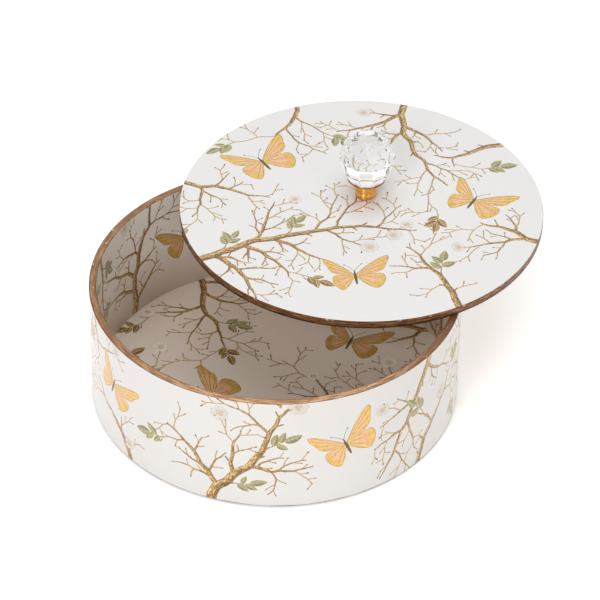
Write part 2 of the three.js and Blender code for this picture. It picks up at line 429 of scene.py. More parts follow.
    def spray(self, point, angle, tone):
        """A short stem with leaves set by turns on its two sides and one at its end."""
        rng = self.rng
        stem = [point]
        turn = angle
        for _ in STEM_WIDTHS[1:]:
            turn += rng.gauss(0, STEM_WOBBLE)
            stem.append(moved(stem[-1], turn, STEM_STEP))
        self.add("bark", ribbon(stem, STEM_WIDTHS))
        side = rng.choice((-1, 1))
        for base in stem[1:-1]:
            self.leaf(base, turn + side * rng.uniform(*LEAF_TURN), rng.uniform(*LEAF_LENGTH), tone)
            side = -side
        self.leaf(stem[-1], turn, rng.uniform(*END_LEAF_LENGTH), tone)

    def leaf(self, base, angle, length, tone):
        """An almond leaf: two halves of different tone, a gold rim, a midrib and side veins."""
        rng = self.rng
        steps = LEAF_STEPS
        bend = rng.uniform(-LEAF_BEND, LEAF_BEND)
        wide = length * rng.uniform(*LEAF_WIDTH)
        mid = [base]
        turn = angle - bend / 2
        for _ in range(steps):
            mid.append(moved(mid[-1], turn, length / steps))
            turn += bend / steps
        half = [wide / 2 * almond(i / steps) for i in range(steps + 1)]
        left = [beside(mid, i, half[i] + LEAF_RIM) for i in range(1, steps)]
        right = [beside(mid, i, -half[i] - LEAF_RIM) for i in range(steps - 1, 0, -1)]
        self.add("vein", [mid[0]] + left + [mid[-1]] + right)
        for sign, ink in ((1, tone), (-1, tone + "_dark")):
            rim = [beside(mid, i, sign * half[i]) for i in range(steps + 1)]
            self.add(ink, rim + mid[::-1][1:-1])
        for i in range(2, steps - 1, 2):
            for sign in (-1, 1):
                end = beside(mid, i + 1, sign * half[i] * VEIN_REACH)
                self.add("vein", ribbon([mid[i], end], VEIN_WIDTHS))
        self.add("vein", ribbon(mid, [MIDRIB - MIDRIB_TAPER * i / steps for i in range(steps + 1)]))

    def blossom(self, centre, angle, size):
        """Notched petals, a blush at each petal's root, and stamens."""
        rng = self.rng
        for k in range(PETALS):
            turn = angle + 2 * math.pi * k / PETALS + rng.uniform(-PETAL_SWAY, PETAL_SWAY)
            reach = size * rng.uniform(*PETAL_REACH)
            for ink, share in (("petal_line", 1.0), ("petal", PETAL_INSIDE)):
                rim = smooth([(0.5 + (u - 0.5) * share, v * share) for u, v in PETAL], 3, True)
                self.add(ink, turned(rim, centre, turn, reach))
            root = [moved(centre, turn, share * size) for share in BLUSH_REACH]
            self.add("blush", ribbon(root, [BLUSH_WIDTH * size, BLUSH_END]))
        for k in range(STAMENS):
            turn = angle + 2 * math.pi * (k + rng.uniform(-STAMEN_SWAY, STAMEN_SWAY)) / STAMENS
            far = moved(centre, turn, size * rng.uniform(*STAMEN_REACH))
            self.add("stamen", ribbon([centre, far], STAMEN_WIDTHS))
            self.add("stamen", dot(far, STAMEN_HEAD))
        self.add("bark_gold", dot(centre, EYE_RADIUS))

    def butterfly(self, centre, angle, size):
        """A butterfly seen from above, a little aslant, so that one pair of wings looks narrower."""
        for wide in WING_SPANS:
            for outline, ribs in ((HIND_WING, HIND_RIBS), (FORE_WING, FORE_RIBS)):
                self.wing(centre, angle, size, wide, outline, ribs)
        spine = smooth(turned([(0, v) for v in BODY_PLACES], centre, angle, size))
        last = len(spine) - 1
        swell = [BODY_SWELL * math.sin(math.pi * (i / last) ** BODY_FULLEST) for i in range(last + 1)]
        self.add("bark_dark", ribbon(spine, [size * (BODY_END + more) for more in swell]))
        for sign in (-1, 1):
            feeler = smooth(turned(FEELER, centre, angle, size, sign), 4)
            self.add("bark_dark", ribbon(feeler, [FEELER_WIDTH] * len(feeler)))
            self.add("bark_dark", dot(feeler[-1], FEELER_CLUB))

    def wing(self, centre, angle, size, wide, outline, ribs):
        """One wing: a dark edge, a gold field, a peach core, and ribs that spread from its root."""
        mid_u = sum(u for u, _ in outline) / len(outline)
        mid_v = sum(v for _, v in outline) / len(outline)
        field = [(mid_u + (u - mid_u) * WING_FIELD, mid_v + (v - mid_v) * WING_FIELD) for u, v in outline]
        core = [(WING_ROOT[0] + u * WING_CORE, WING_ROOT[1] + v * WING_CORE) for u, v in outline]
        for ink, shape in (("wing_line", outline), ("wing", field), ("wing_peach", core)):
            self.add(ink, turned(smooth(shape, WING_PARTS, True), centre, angle, size, wide))
        edge = smooth(field, WING_PARTS, True)
        span_of_ribs = len(edge) - RIBS_BEFORE - RIBS_AFTER
        for k in range(ribs):
            end = edge[RIBS_AFTER + span_of_ribs * k // (ribs - 1)]
            half_way = (end[0] * 0.5 + 0.01, end[1] * 0.52 + 0.02)
            line = smooth(turned([RIB_ROOT, half_way, end], centre, angle, size, wide), 4)
            thin = [RIB_WIDTH - RIB_TAPER * i / (len(line) - 1) for i in range(len(line))]
            self.add("wing_vein" if k % 2 else "wing_line", ribbon(line, thin))


def printed(seed, within, limbs, flies, plain=()):
    """One sheet's print: limbs are (x, y, heading in degrees, length, width), flies (x, y, turn, size).

    In the rounds called plain, twigs end in buds alone.
    """
    flat = Print(seed, within, [(x, y, FLY_ROOM * size) for x, y, _, size in flies], plain)
    flat.grow([((x, y), math.radians(heading), length, wide) for x, y, heading, length, wide in limbs])
    for x, y, turn, size in flies:
        flat.butterfly((x, y), math.radians(turn), size)
    return flat.shapes


# Materials

def new_material(name):
    material = bpy.data.materials.new(name)
    material.use_nodes = True
    tree = material.node_tree
    return material, tree, tree.nodes["Principled BSDF"]


def link(tree, source, target):
    tree.links.new(source, target)


def set_values(node, values):
    """Sets fixed values of a node by name."""
    for name, value in values.items():
        node.inputs[name].default_value = value


def object_point(tree):
    return tree.nodes.new("ShaderNodeTexCoord").outputs["Object"]


def object_axes(tree):
    """X, Y and Z in object space."""
    node = tree.nodes.new("ShaderNodeSeparateXYZ")
    link(tree, object_point(tree), node.inputs["Vector"])
    return node.outputs


def joined(tree, *values):
    """A vector made of up to three values."""
    node = tree.nodes.new("ShaderNodeCombineXYZ")
    for value, socket in zip(values, node.inputs):
        link(tree, value, socket)
    return node.outputs["Vector"]


def worked_out(tree, operation, first, second):
    """The result of an operation on two values, each a number or another node's output."""
    node = tree.nodes.new("ShaderNodeMath")
    node.operation = operation
    for socket, value in zip(node.inputs, (first, second)):
        if isinstance(value, float):
            socket.default_value = value
        else:
            link(tree, value, socket)
    return node.outputs["Value"]


def noise(tree, point, scale, detail=3.0, roughness=0.55):
    node = tree.nodes.new("ShaderNodeTexNoise")
    set_values(node, {"Scale": scale, "Detail": detail, "Roughness": roughness})
    link(tree, point, node.inputs["Vector"])
    return node.outputs["Fac"]


def ramp(tree, factor, stops):
    node = tree.nodes.new("ShaderNodeValToRGB")
    elements = node.color_ramp.elements
    while len(elements) < len(stops):
        elements.new(0.5)
    for element, (place, colour) in zip(elements, stops):
        element.position = place
        element.color = (*colour, 1)
    link(tree, factor, node.inputs["Fac"])
    return node.outputs["Color"]


def bump(tree, height, strength, distance):
    node = tree.nodes.new("ShaderNodeBump")
    set_values(node, {"Strength": strength, "Distance": distance})
    link(tree, height, node.inputs["Height"])
    return node.outputs["Normal"]


def span(tree, value, low, high, most=1.0, least=0.0):
    """How far a value has gone from low to high, told from least to most."""
    node = tree.nodes.new("ShaderNodeMapRange")
    set_values(node, {"From Min": low, "From Max": high, "To Min": least, "To Max": most})
    link(tree, value, node.inputs["Value"])
    return node.outputs["Result"]


def mixed(tree, factor, first, second):
    """Mixes two colours, each a fixed colour or another node's output."""
    node = tree.nodes.new("ShaderNodeMix")
    node.data_type = "RGBA"
    link(tree, factor, node.inputs["Factor"])
    for socket, colour in ((node.inputs[6], first), (node.inputs[7], second)):
        if isinstance(colour, tuple):
            socket.default_value = (*colour, 1)
        else:
            link(tree, colour, socket)
    return node.outputs[2]


def srgb(red, green, blue):
    """A colour as seen on screen, 0 to 255, as the linear colour that a shader takes."""
    def linear(value):
        share = value / 255
        return share / 12.92 if share <= 0.04045 else ((share + 0.055) / 1.055) ** 2.4
    return linear(red), linear(green), linear(blue)


def toned(tree, grain, places, tones):
    """Tones laid over a grain, the darkest first."""
    return ramp(tree, grain, [(place, srgb(*tone)) for place, tone in zip(places, tones)])


INKS = {
    "ground": dict(tones=[(238, 237, 235), (240, 239, 237), (241, 240, 239)], grain=900, metal=0.0),
    # The inside's grounds are tuned copies of ground: the liner's is warmer, the floor's darker and warmer,
    # as painted bounce light and shade inside the box
    "shaded_inner_ground": dict(tones=[(244, 238, 231), (246, 241, 235), (247, 243, 238)], grain=900, metal=0.0),
    "shaded_floor_ground": dict(tones=[(226, 213, 200), (228, 216, 203), (230, 219, 207)], grain=900, metal=0.0),
    "edge_paint": dict(tones=[(78, 50, 30), (118, 80, 50), (158, 116, 76)], grain=700, metal=0.3),
    "dark_foot_band": dict(tones=[(70, 60, 54), (92, 82, 74), (120, 110, 102)], grain=700, metal=0.0),
    "bark": dict(tones=[(116, 88, 54), (160, 124, 78), (202, 166, 112)], grain=1500, metal=0.7),
    "bark_dark": dict(tones=[(76, 56, 32), (100, 76, 46), (128, 98, 60)], grain=1500, metal=0.4),
    "twig": dict(tones=[(132, 102, 62), (170, 134, 84), (204, 168, 114)], grain=900, metal=0.6),
    "bark_gold": dict(tones=[(212, 172, 100), (234, 200, 130), (248, 224, 166)], grain=1500, metal=0.7),
    "sage": dict(tones=[(140, 146, 106), (158, 162, 122), (174, 178, 142)], grain=500, metal=0.1),
    "sage_dark": dict(tones=[(106, 112, 76), (124, 128, 90), (144, 146, 108)], grain=500, metal=0.1),
    "bronze": dict(tones=[(140, 110, 62), (166, 132, 78), (190, 156, 98)], grain=500, metal=0.5),
    "bronze_dark": dict(tones=[(98, 76, 42), (120, 94, 54), (146, 116, 70)], grain=500, metal=0.5),
    "vein": dict(tones=[(200, 172, 108), (222, 196, 132), (236, 214, 156)], grain=900, metal=0.6),
    "petal": dict(tones=[(222, 216, 208), (231, 226, 219), (238, 234, 228)], grain=350, metal=0.0),
    "petal_line": dict(tones=[(182, 172, 160), (200, 192, 182), (214, 208, 198)], grain=500, metal=0.0),
    "blush": dict(tones=[(226, 190, 164), (236, 206, 182), (240, 218, 200)], grain=500, metal=0.0),
    "stamen": dict(tones=[(128, 90, 54), (154, 114, 70), (176, 136, 90)], grain=900, metal=0.0),
    "wing": dict(tones=[(208, 160, 74), (226, 184, 98), (240, 206, 132)], grain=700, metal=0.7),
    "wing_peach": dict(tones=[(226, 166, 116), (236, 186, 138), (242, 204, 160)], grain=700, metal=0.4),
    "wing_line": dict(tones=[(150, 108, 50), (172, 128, 64), (192, 148, 84)], grain=900, metal=0.6),
    "wing_vein": dict(tones=[(236, 200, 118), (246, 216, 140), (250, 228, 164)], grain=900, metal=0.7),
}

# Places of the tones along a grain
INK_PLACES = (0.32, 0.5, 0.68)
PAINT_PLACES = (0.36, 0.50, 0.63)
TWO_PLACES = (0.3, 0.7)

# Painted shade on the liner: its ground darkens from one height down to another, towards the floor
LINER_SHADE_FROM = 52 * MM
LINER_SHADE_TO = 6 * MM
LINER_PAINTED_SHADE = (196, 180, 164)

# Paint of the board edges, darkened along an axis as painted shade: (axis, from, to, share).
# The rim stays lighter at its front, where the light falls, and darker at its right, under the lid; the
# lid's edge darkens at its right
RIM_TONES = ((116, 75, 46), (182, 134, 92), (230, 191, 146))
RIM_PAINTED_SHADE = (("Y", -105 * MM, -55 * MM, 0.55), ("X", 70 * MM, 112 * MM, 0.8))
LID_TONES = ((64, 35, 17), (126, 77, 41), (190, 142, 92))
LID_PAINTED_SHADE = (("X", 115 * MM, 165 * MM, 0.75),)
STREAK_STRETCH = 0.10
# Painted shade along the bottom of each board edge: the darkest tone, dimmed, between two heights above the
# bottom
FOOT_SHADE = 0.35
FOOT_SHADE_FROM = 0.4 * MM
FOOT_SHADE_TO = 1.8 * MM
CHIP_TONE = (230, 222, 212)
CHIP_STRETCH = 0.5
CHIP_EDGE = 0.02
ARRIS_FROM = 0.9 * MM
ARRIS_TO = 0.2 * MM

# Painted shade on the flare under the cup: browner between two depths below the cup's lip
GOLD_TONES = ((224, 164, 92), (234, 178, 106))
UNDER_CUP_PAINTED_SHADE = (150, 88, 36)
UNDER_CUP_SHADE_SHARE = 0.75
UNDER_CUP_SHADE_FROM = 5.0 * MM
UNDER_CUP_SHADE_TO = 2.4 * MM

STEEL_TONES = ((150, 152, 156), (196, 198, 200))
FELT_TONES = ((48, 43, 38), (88, 80, 72))
BOARD_TONES = ((140, 104, 70), (176, 138, 98))
CRYSTAL_TINT = (0.985, 0.99, 0.99, 1)


def ink_material(name, tones, grain, metal):
    """Ink on white stock under one coat of gloss lacquer. The liner's ground carries painted shade, darker
    towards its foot.
    """
    material, tree, shader = new_material("ink_" + name)
    speckle = noise(tree, object_point(tree), grain, 4.0, 0.65)
    colour = toned(tree, speckle, INK_PLACES, tones)
    if name == "shaded_inner_ground":
        # painted shade: the liner's ground darkens towards the floor
        foot = span(tree, object_axes(tree)["Z"], LINER_SHADE_TO, LINER_SHADE_FROM)
        colour = mixed(tree, foot, srgb(*LINER_PAINTED_SHADE), colour)
    link(tree, colour, shader.inputs["Base Color"])
    set_values(shader, {"Metallic": metal, "Roughness": 0.38, "Coat Weight": 0.5, "Coat Roughness": 0.07})
    peel = noise(tree, object_point(tree), 420, 2.0)
    link(tree, bump(tree, peel, 0.05, 0.2 * MM), shader.inputs["Coat Normal"])
    return material


def ring_point(tree, stretch):
    """Object space unrolled round Z as (arc, height, radius), its cut at the back; arc is stretched."""
    x, y, z = object_axes(tree)
    behind = [worked_out(tree, "MULTIPLY", side, -1.0) for side in (x, y)]
    turn = worked_out(tree, "ARCTAN2", *behind)
    radius = tree.nodes.new("ShaderNodeVectorMath")
    radius.operation = "LENGTH"
    link(tree, joined(tree, x, y), radius.inputs[0])
    arc = worked_out(tree, "MULTIPLY", turn, WRAP_RADIUS * stretch)
    return joined(tree, arc, z, radius.outputs["Value"])


def painted_edge(name, node, tones, chips, metal, roughness, painted_shade):
    """Board edge brushed with antique brown-gold paint: long streaks, painted shade along axes and at the
    bottom, chipped at the top.
    """
    material, tree, shader = new_material(name)
    low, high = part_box(node)
    dark = srgb(*tones[0])
    axes = object_axes(tree)
    streak = noise(tree, ring_point(tree, STREAK_STRETCH), 900, 6.0, 0.7)
    colour = toned(tree, streak, PAINT_PLACES, tones)
    # painted shade: the paint darkens along each axis given
    for axis, start, end, share in painted_shade:
        colour = mixed(tree, span(tree, axes[axis], start, end, share), colour, dark)
    # painted shade at the bottom of the edge
    foot = span(tree, axes["Z"], low.z + FOOT_SHADE_FROM, low.z + FOOT_SHADE_TO)
    colour = mixed(tree, foot, tuple(value * FOOT_SHADE for value in dark), colour)
    arris = span(tree, axes["Z"], high.z - ARRIS_FROM, high.z - ARRIS_TO)
    patches = noise(tree, ring_point(tree, CHIP_STRETCH), 420, 3.0, 0.6)
    chip = span(tree, patches, 1 - chips, 1 - chips + CHIP_EDGE)
    colour = mixed(tree, worked_out(tree, "MULTIPLY", arris, chip), colour, srgb(*CHIP_TONE))
    link(tree, colour, shader.inputs["Base Color"])
    set_values(shader, {"Metallic": metal, "Roughness": roughness})
    link(tree, bump(tree, streak, 0.5, 0.3 * MM), shader.inputs["Normal"])
    return material


def gold_metal():
    """Polished gold plating, with painted shade browning the flare under the cup."""
    material, tree, shader = new_material("polished_gold")
    wear = noise(tree, object_point(tree), 120, 2.0)
    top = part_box("knob_collar")[1].z
    depth = object_axes(tree)["Z"]
    # painted shade: the flare under the cup, which faces the lid, is browned
    flare = span(tree, depth, top - UNDER_CUP_SHADE_FROM, top - UNDER_CUP_SHADE_TO, UNDER_CUP_SHADE_SHARE)
    gold = mixed(tree, flare, toned(tree, wear, TWO_PLACES, GOLD_TONES), srgb(*UNDER_CUP_PAINTED_SHADE))
    link(tree, gold, shader.inputs["Base Color"])
    set_values(shader, {"Metallic": 1.0, "Roughness": 0.1})
    return material


def clear_crystal():
    """Clear crystal with a faint haze from handling."""
    material, tree, shader = new_material("clear_crystal")
    set_values(shader, {"Base Color": CRYSTAL_TINT, "IOR": 1.52, "Transmission Weight": 0.94})
    haze = noise(tree, object_point(tree), 160, 3.0)
    link(tree, span(tree, haze, 0.45, 0.75, 0.03), shader.inputs["Roughness"])
    return material


def zinc_steel():
    material, tree, shader = new_material("zinc_steel")
    grain = noise(tree, object_point(tree), 1200, 5.0)
    link(tree, toned(tree, grain, TWO_PLACES, STEEL_TONES), shader.inputs["Base Color"])
    set_values(shader, {"Metallic": 1.0, "Roughness": 0.35})
    return material


def felt_cloth():
    material, tree, shader = new_material("felt_cloth")
    fuzz = noise(tree, object_point(tree), 1400, 6.0, 0.7)
    link(tree, toned(tree, fuzz, TWO_PLACES, FELT_TONES), shader.inputs["Base Color"])
    set_values(shader, {"Roughness": 1.0})
    link(tree, bump(tree, fuzz, 0.8, 0.4 * MM), shader.inputs["Normal"])
    return material


def bare_board():
    material, tree, shader = new_material("bare_board")
    fibre = noise(tree, object_point(tree), 700, 6.0, 0.7)
    link(tree, toned(tree, fibre, TWO_PLACES, BOARD_TONES), shader.inputs["Base Color"])
    set_values(shader, {"Roughness": 0.85})
    return material


INK_MATERIALS = [ink_material(name, **look) for name, look in INKS.items()]
INK_ORDER = {name: i for i, name in enumerate(INKS)}
RIM_PAINT = painted_edge("rim_paint", "box_wall", RIM_TONES, 0.32, 0.45, 0.38, RIM_PAINTED_SHADE)
LID_PAINT = painted_edge("lid_paint", "lid_board", LID_TONES, 0.40, 0.3, 0.42, LID_PAINTED_SHADE)
GOLD = gold_metal()
CRYSTAL = clear_crystal()
STEEL = zinc_steel()
FELT = felt_cloth()
BOARD = bare_board()


# Pieces

# Steps round the pieces, and the angle from which an edge between two faces is drawn sharp
ROUND_STEPS = 256
SHEET_STEPS = 240
WRAP_COLUMNS = 180
KNOB_STEPS = 96
HOLE_STEPS = 48
CREASE = math.radians(32)

# Points of the flat print that are taken as one, and the slack at a break, in millimetres
SAME_POINT = 1e-4
BREAK_SLACK = 1e-3

# Paint that runs over the border of a sheet, and the dark grey band along the outer wrap's foot, in
# millimetres
LID_BLEED = 0.12
RIM_BLEED = 0.2
FOOT_BAND_DEPTH = 0.55
BLEED_LEAST = 0.35
BLEED_WAVE = 8
BLEED_OVER = 1

# Gold collar
FOOT_RADIUS = 7.2 * MM
FOOT_HEIGHT = 4.4 * MM
FOOT_BEAD = 1.5 * MM
GROOVE_WIDTH = 0.6 * MM
GROOVE_DEPTH = 0.7 * MM
NECK_RADIUS = 7.3 * MM
NECK_HEIGHT = 4.0 * MM
LIP_HEIGHT = 0.9 * MM
LIP_WALL = 0.45 * MM
LIP_ROUND = 0.35 * MM
SEAT_DEPTH = 0.5 * MM
BORE_DEPTH = 8.0 * MM


def place_piece(name, mesh, centre, body, replaced):
    """Puts a mesh, given round a centre on the floor plane, into the scene as one riding piece."""
    piece = bpy.data.objects.new(name, mesh)
    piece.location = centre
    bpy.context.scene.collection.objects.link(piece)
    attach(piece, body)
    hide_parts(*replaced)


def inside(points, outline):
    """Which of the points lie inside an outline, by their winding number."""
    start = np.array(outline)
    step = np.roll(start, -1, axis=0) - start
    x = points[:, 0, None] - start[:, 0]
    y = points[:, 1, None] - start[:, 1]
    side = step[:, 0] * y - step[:, 1] * x
    rises = (y >= 0) & (y < step[:, 1]) & (side > 0)
    falls = (y < 0) & (y >= step[:, 1]) & (side < 0)
    return rises.sum(axis=1) != falls.sum(axis=1)


def split_face(outline, ground, shapes, cuts, hole):
    """Splits a flat outline along the inked shapes: points, triangles and the ink of each triangle."""
    layers = [(ground, outline)] + shapes
    if hole:
        layers.append((None, hole))
    points = []
    edges = []
    for shape in [shape for _, shape in layers] + cuts:
        first = len(points)
        points.extend(Vector(p) for p in shape)
        edges.extend((first + i, first + (i + 1) % len(shape)) for i in range(len(shape)))
    corners, _, triangles, _, _, _ = delaunay_2d_cdt(points, edges, [], 0, SAME_POINT, False)
    corners = np.array([tuple(p) for p in corners])
    triangles = np.array(triangles)
    middles = corners[triangles].mean(axis=1)
    order = np.argsort(middles[:, 0])
    middles = middles[order]
    triangles = triangles[order]
    tones = np.full(len(triangles), -1)
    for ink, shape in layers:
        low = np.min(shape, axis=0)
        high = np.max(shape, axis=0)
        first, last = np.searchsorted(middles[:, 0], (low[0], high[0]))
        heights = middles[first:last, 1]
        near = first + np.nonzero((heights > low[1]) & (heights < high[1]))[0]
        hit = near[inside(middles[near], shape)]
        if ink != ground:
            hit = hit[tones[hit] >= 0]
        tones[hit] = INK_ORDER[ink] if ink else -1
    kept = tones >= 0
    return corners.tolist(), triangles[kept].tolist(), tones[kept].tolist()


def border_loops(rim):
    """The closed loops of a sheet's border, each as the numbers of its points in order."""
    follow = dict(rim)
    loops = []
    while follow:
        loop = [min(follow)]
        while loop[-1] in follow:
            loop.append(follow.pop(loop[-1]))
        loops.append(loop[1:])
    return loops


def kept_run(loop, keep):
    """The points of a loop that are kept, from where they begin."""
    first = next((k for k, i in enumerate(loop) if keep(i) and not keep(loop[k - 1])), 0)
    return [i for i in loop[first:] + loop[:first] if keep(i)]


def plain_back(rim, points, breaks):
    """Faces of a sheet's back, drawn on its border's points alone: one between each two breaks."""
    loops = border_loops(rim)
    limits = [-math.inf] + breaks + [math.inf]
    faces = []
    for low, high in zip(limits, limits[1:]):
        def keep(i):
            return low - BREAK_SLACK <= points[i][0] <= high + BREAK_SLACK
        faces.append([i for loop in loops for i in kept_run(loop, keep)])
    return faces


def bend_normals(mesh, fronts, backs, normal):
    """Shades a bent sheet's face and back as the true curve that they follow."""
    mesh.polygons.foreach_set("use_smooth", [True] * len(mesh.polygons))
    shading = []
    for polygon in mesh.polygons:
        for i in polygon.vertices:
            if polygon.index < fronts:
                shading.append(normal(mesh.vertices[i].co))
            elif polygon.index < fronts + backs:
                shading.append(-normal(mesh.vertices[i].co))
            else:
                shading.append(polygon.normal)
    mesh.normals_split_custom_set(shading)


def printed_mesh(name, outline, ground, edge, shapes, put, normal, breaks, hole):
    """A sheet with a split, inked face, a plain back and closed edges. put maps (x, y, depth) to space."""
    low = min(y for _, y in outline)
    high = max(y for _, y in outline)
    cuts = [((x, low), (x, high)) for x in breaks]
    points, triangles, tones = split_face(outline, ground, shapes, cuts, hole)
    used = sorted({i for triangle in triangles for i in triangle})
    number = {old: new for new, old in enumerate(used)}
    points = [points[i] for i in used]
    front = [tuple(number[i] for i in triangle) for triangle in triangles]
    directed = {pair for t in front for pair in zip(t, t[1:] + t[:1])}
    rim = sorted((a, b) for a, b in directed if (b, a) not in directed)
    behind = {a: len(points) + k for k, (a, _) in enumerate(rim)}
    back = [tuple(behind[i] for i in reversed(face)) for face in plain_back(rim, points, breaks)]
    edges = [(b, a, behind[a], behind[b]) for a, b in rim]
    vertices = [put(*p, 0) for p in points] + [put(*points[a], SHEET) for a, _ in rim]
    mesh = bpy.data.meshes.new(name)
    mesh.from_pydata(vertices, [], front + back + edges)
    for material in INK_MATERIALS:
        mesh.materials.append(material)
    plain = [INK_ORDER[ground]] * len(back) + [INK_ORDER[edge]] * len(edges)
    mesh.polygons.foreach_set("material_index", tones + plain)
    if normal:
        bend_normals(mesh, len(front), len(back), normal)
    return mesh


def bleed(rng, place, length, most):
    """A wavy band over a sheet's border, for the edge paint and for the dark grey at the wrap's foot; place
    maps (along, inward) to the sheet.
    """
    count = round(length / BLEED_WAVE)
    depth = [most * rng.uniform(BLEED_LEAST, 1) for _ in range(count)]
    wave = smooth([(length * k / count, d) for k, d in enumerate(depth + depth[:1])], 4)
    return [place(s, d) for s, d in wave] + [place(s, -BLEED_OVER) for s, _ in reversed(wave)]


def disc_sheet(name, node, body, radius, ground, shapes, facing, bore=None):
    """A flat printed disc. facing is 1 for a face that looks up and -1 for one that looks down.

    A bore is the radius of the hole that the knob's screw passes through.
    """
    low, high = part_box(node)
    face = high.z if facing > 0 else low.z
    centre = LID_CENTRE if body == "lid" else BOX_CENTRE
    edge = ground
    breaks = []
    hole = []

    def at_rim(along, inward):
        return moved((0, 0), along * MM / radius, radius / MM - inward)

    def put(x, y, depth):
        return Vector((facing * x * MM, y * MM, face - facing * depth))

    if body == "lid":
        edge = "edge_paint"
        paint = bleed(random.Random(name), at_rim, 2 * math.pi * radius / MM, LID_BLEED)
        shapes = shapes + [(edge, paint)]
    if bore:
        hole = dot((facing * KNOB_X, KNOB_Y), bore / MM, HOLE_STEPS)
        breaks = [facing * KNOB_X]
    outline = dot((0, 0), radius / MM, SHEET_STEPS)
    mesh = printed_mesh(name, outline, ground, edge, shapes, put, None, breaks, hole)
    place_piece(name, mesh, centre, body, [node])


def wrap_sheet(name, node, radius, facing, seam, ground, shapes):
    """A printed strip bent round the box. facing is 1 for the outside and -1 for the inside."""
    low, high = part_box(node)
    length = 2 * math.pi * radius / MM
    start, end = SEAM_GAP / MM / 2, length - SEAM_GAP / MM / 2
    bottom, top = low.z / MM, high.z / MM
    outline = [(start, bottom), (end, bottom), (end, top), (start, top)]
    breaks = [start + (end - start) * k / WRAP_COLUMNS for k in range(1, WRAP_COLUMNS)]
    rng = random.Random(name)

    def under_rim(along, inward):
        return along, top - inward

    def over_foot(along, inward):
        return along, bottom + inward

    def put(x, y, depth):
        turn = seam + facing * x * MM / radius
        reach = radius - facing * depth
        return Vector((reach * math.cos(turn), reach * math.sin(turn), y * MM))

    def normal(point):
        return facing * Vector((point.x, point.y, 0)).normalized()

    shapes = shapes + [("edge_paint", bleed(rng, under_rim, length, RIM_BLEED))]
    # The outer wrap has a dark grey band along its foot
    if facing > 0:
        shapes.append(("dark_foot_band", bleed(rng, over_foot, length, FOOT_BAND_DEPTH)))
    mesh = printed_mesh(name, outline, ground, "edge_paint", shapes, put, normal, breaks, [])
    place_piece(name, mesh, BOX_CENTRE, "box", [node])


def turned_mesh(name, profile, material, steps=ROUND_STEPS):
    """A closed ring or solid turned round Z from (radius, height) points that run counter-clockwise."""
    shape = bmesh.new()
    rows = []
    for radius, height in profile:
        ring = dot((0, 0), radius, steps) if radius else [(0, 0)]
        rows.append([shape.verts.new((x, y, height)) for x, y in ring])
    pairs = list(zip(rows, rows[1:]))
    if len(rows[0]) > 1:
        pairs.append((rows[-1], rows[0]))
    for below, above in pairs:
        if len(below) == 1 and len(above) == 1:
            continue
        for k in range(steps):
            n = (k + 1) % steps
            if len(below) == 1:
                shape.faces.new((below[0], above[n], above[k]))
            elif len(above) == 1:
                shape.faces.new((below[k], below[n], above[0]))
            else:
                shape.faces.new((below[k], below[n], above[n], above[k]))
    for face in shape.faces:
        face.smooth = True
    for edge in shape.edges:
        edge.smooth = edge.calc_face_angle(0) < CREASE
    mesh = bpy.data.meshes.new(name)
    shape.to_mesh(mesh)
    shape.free()
    mesh.materials.append(material)
    return mesh


def quarter(start, corner, end, parts=6):
    """Points of a curve that leaves start towards corner and comes into end from it."""
    a, b, c = Vector(start), Vector(corner), Vector(end)
    shares = [k / parts for k in range(parts + 1)]
    return [tuple(a * (1 - t) ** 2 + b * 2 * t * (1 - t) + c * t * t) for t in shares]


def rounded(corners, radius):
    """A closed profile with its corners rounded off."""
    out = []
    for i, corner in enumerate(corners):
        here = Vector(corner)
        before = Vector(corners[i - 1]) - here
        after = Vector(corners[(i + 1) % len(corners)]) - here
        out += quarter(here + before.normalized() * radius, here, here + after.normalized() * radius, 4)
    return out


def disc_mesh(name, node, radius, edge, material):
    """A flat disc with its two edges rounded."""
    low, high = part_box(node)
    profile = [(0, low.z)]
    profile += quarter((radius - edge, low.z), (radius, low.z), (radius, low.z + edge), 4)
    profile += quarter((radius, high.z - edge), (radius, high.z), (radius - edge, high.z), 4)
    profile += [(0, high.z)]
    return turned_mesh(name, profile, material)


def drilled(mesh, profile, place):
    """A mesh with a hole cut out of it, turned from a profile round an upright axis at a place."""
    blank = bpy.data.objects.new("blank", mesh)
    drill = bpy.data.objects.new("drill", turned_mesh("drill", profile, mesh.materials[0], HOLE_STEPS))
    drill.location = place
    for item in (blank, drill):
        bpy.context.scene.collection.objects.link(item)
    cut = blank.modifiers.new("cut", "BOOLEAN")
    cut.operation = "DIFFERENCE"
    cut.object = drill
    graph = bpy.context.evaluated_depsgraph_get()
    bored = bpy.data.meshes.new_from_object(blank.evaluated_get(graph))
    for item in (blank, drill):
        bpy.data.objects.remove(item)
    return bored


def wall_hoop():
    """The bent hoop of the box's wall, its arrises sanded round."""
    low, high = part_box("box_wall")
    corners = [(HOOP_INNER, low.z), (HOOP_OUTER, low.z), (HOOP_OUTER, high.z), (HOOP_INNER, high.z)]
    mesh = turned_mesh("wall_hoop", rounded(corners, RIM_ROUND), RIM_PAINT)
    place_piece("wall_hoop", mesh, BOX_CENTRE, "box", ["box_wall"])


def lid_disc():
    """The lid's board, with the bore of the knob's screw and a counterbore for its head and washer."""
    low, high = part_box("lid_board")
    bottom = low.z - RUN_OUT
    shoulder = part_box("knob_washer")[1].z + WASHER_GAP
    top = high.z + RUN_OUT
    hole = [(0, bottom), (COUNTERBORE_RADIUS, bottom), (COUNTERBORE_RADIUS, shoulder),
            (BORE_RADIUS, shoulder), (BORE_RADIUS, top), (0, top)]
    blank = disc_mesh("lid_disc", "lid_board", LID_RADIUS, LID_ROUND, LID_PAINT)
    mesh = drilled(blank, hole, KNOB_AXIS - LID_CENTRE)
    place_piece("lid_disc", mesh, LID_CENTRE, "lid", ["lid_board"])


def felt_pad():
    """The felt under the base."""
    mesh = disc_mesh("felt_pad", "base_felt", FELT_RADIUS, FELT_ROUND, FELT)
    place_piece("felt_pad", mesh, BOX_CENTRE, "box", ["base_felt"])


